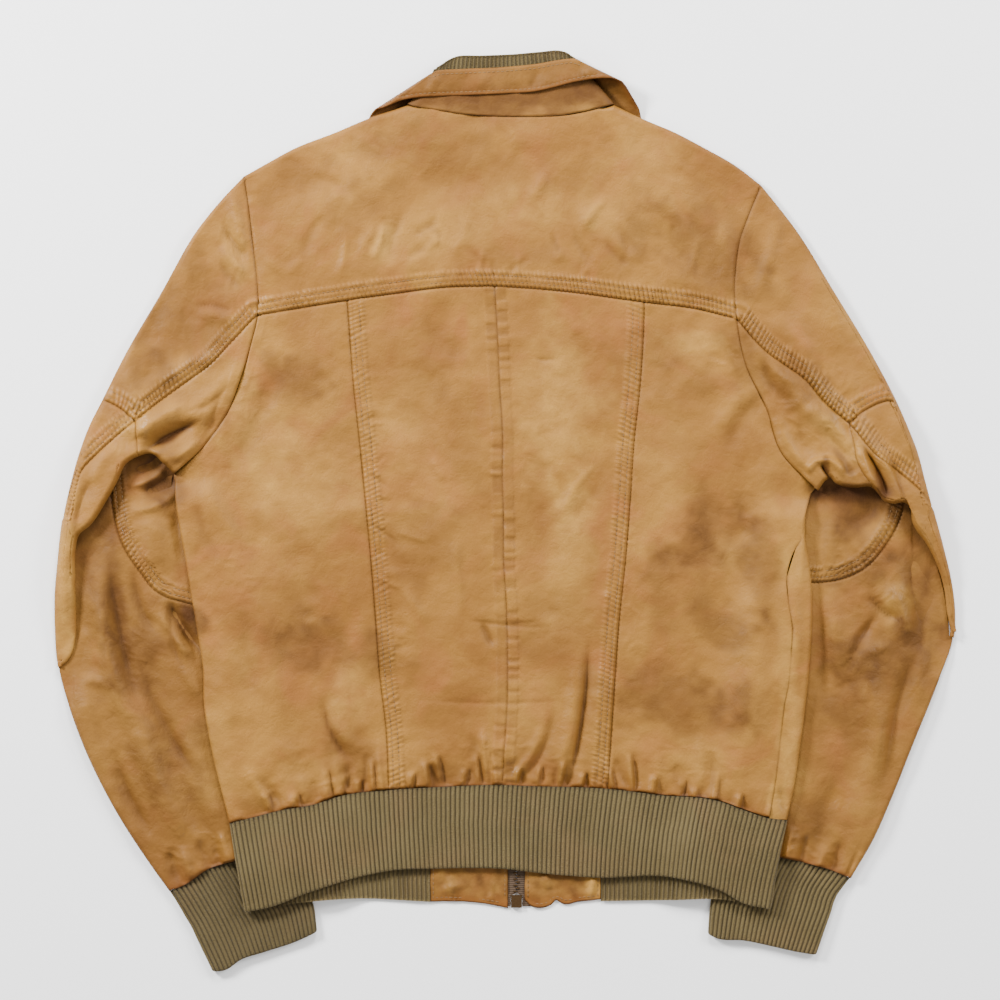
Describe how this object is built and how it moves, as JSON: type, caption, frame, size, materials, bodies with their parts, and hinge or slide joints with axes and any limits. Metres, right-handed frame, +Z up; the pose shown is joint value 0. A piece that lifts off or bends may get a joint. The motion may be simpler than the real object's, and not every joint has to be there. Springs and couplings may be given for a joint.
{
  "type": "leather jacket laid flat",
  "caption": "Worn zip-front leather blouson laid face down, with a back yoke, vertical back panels, fold-over collar and rib-knit collar, hem and cuffs.",
  "frame": {"origin": "middle of the laid garment's outline, on the surface that it lies on", "axes": "+X to the garment's right as it is seen from above, +Y from hem to collar, +Z up, out of the garment's back"},
  "size_m": [0.7016, 0.7178, 0.0178],
  "materials": {
    "leather": "worn, creased and stained tan leather with a low sheen",
    "rib_knit": "dull khaki-brown rib knit",
    "zip_tape": "dark brown woven tape",
    "brass": "dark, tarnished brass"
  },
  "bodies": {
    "jacket": {"back_yoke": "leather", "back_centre_left": "leather", "back_centre_right": "leather", "back_side_left": "leather", "back_side_right": "leather", "front_left": "leather", "front_right": "leather", "collar_stand": "leather", "collar_fall": "leather", "hem_tab_left": "leather", "hem_tab_right": "leather", "left_sleeve_cap": "leather", "left_sleeve_wedge": "leather", "left_sleeve_underarm": "leather", "left_sleeve_fold": "leather", "left_elbow_panel": "leather", "left_forearm": "leather", "left_sleeve_front": "leather", "right_sleeve_cap": "leather", "right_sleeve_wedge": "leather", "right_sleeve_underarm": "leather", "right_sleeve_fold": "leather", "right_elbow_panel": "leather", "right_forearm": "leather", "right_sleeve_front": "leather", "rib_collar": "rib_knit", "hem_rib": "rib_knit", "left_cuff": "rib_knit", "right_cuff": "rib_knit", "zip_tape_left": "zip_tape", "zip_tape_right": "zip_tape", "zip_chain": "brass", "zip_box": "brass", "zip_slider": "brass"},
    "zip_pull": {"zip_pull": "brass"}
  },
  "joints": [
    {"name": "zip_pull_hinge", "type": "hinge", "parent": "jacket", "child": "zip_pull", "pos_m": [0.009, 0.217, 0.0017], "axis": [1, 0, 0], "range_deg": [0, 145]}
  ]
}
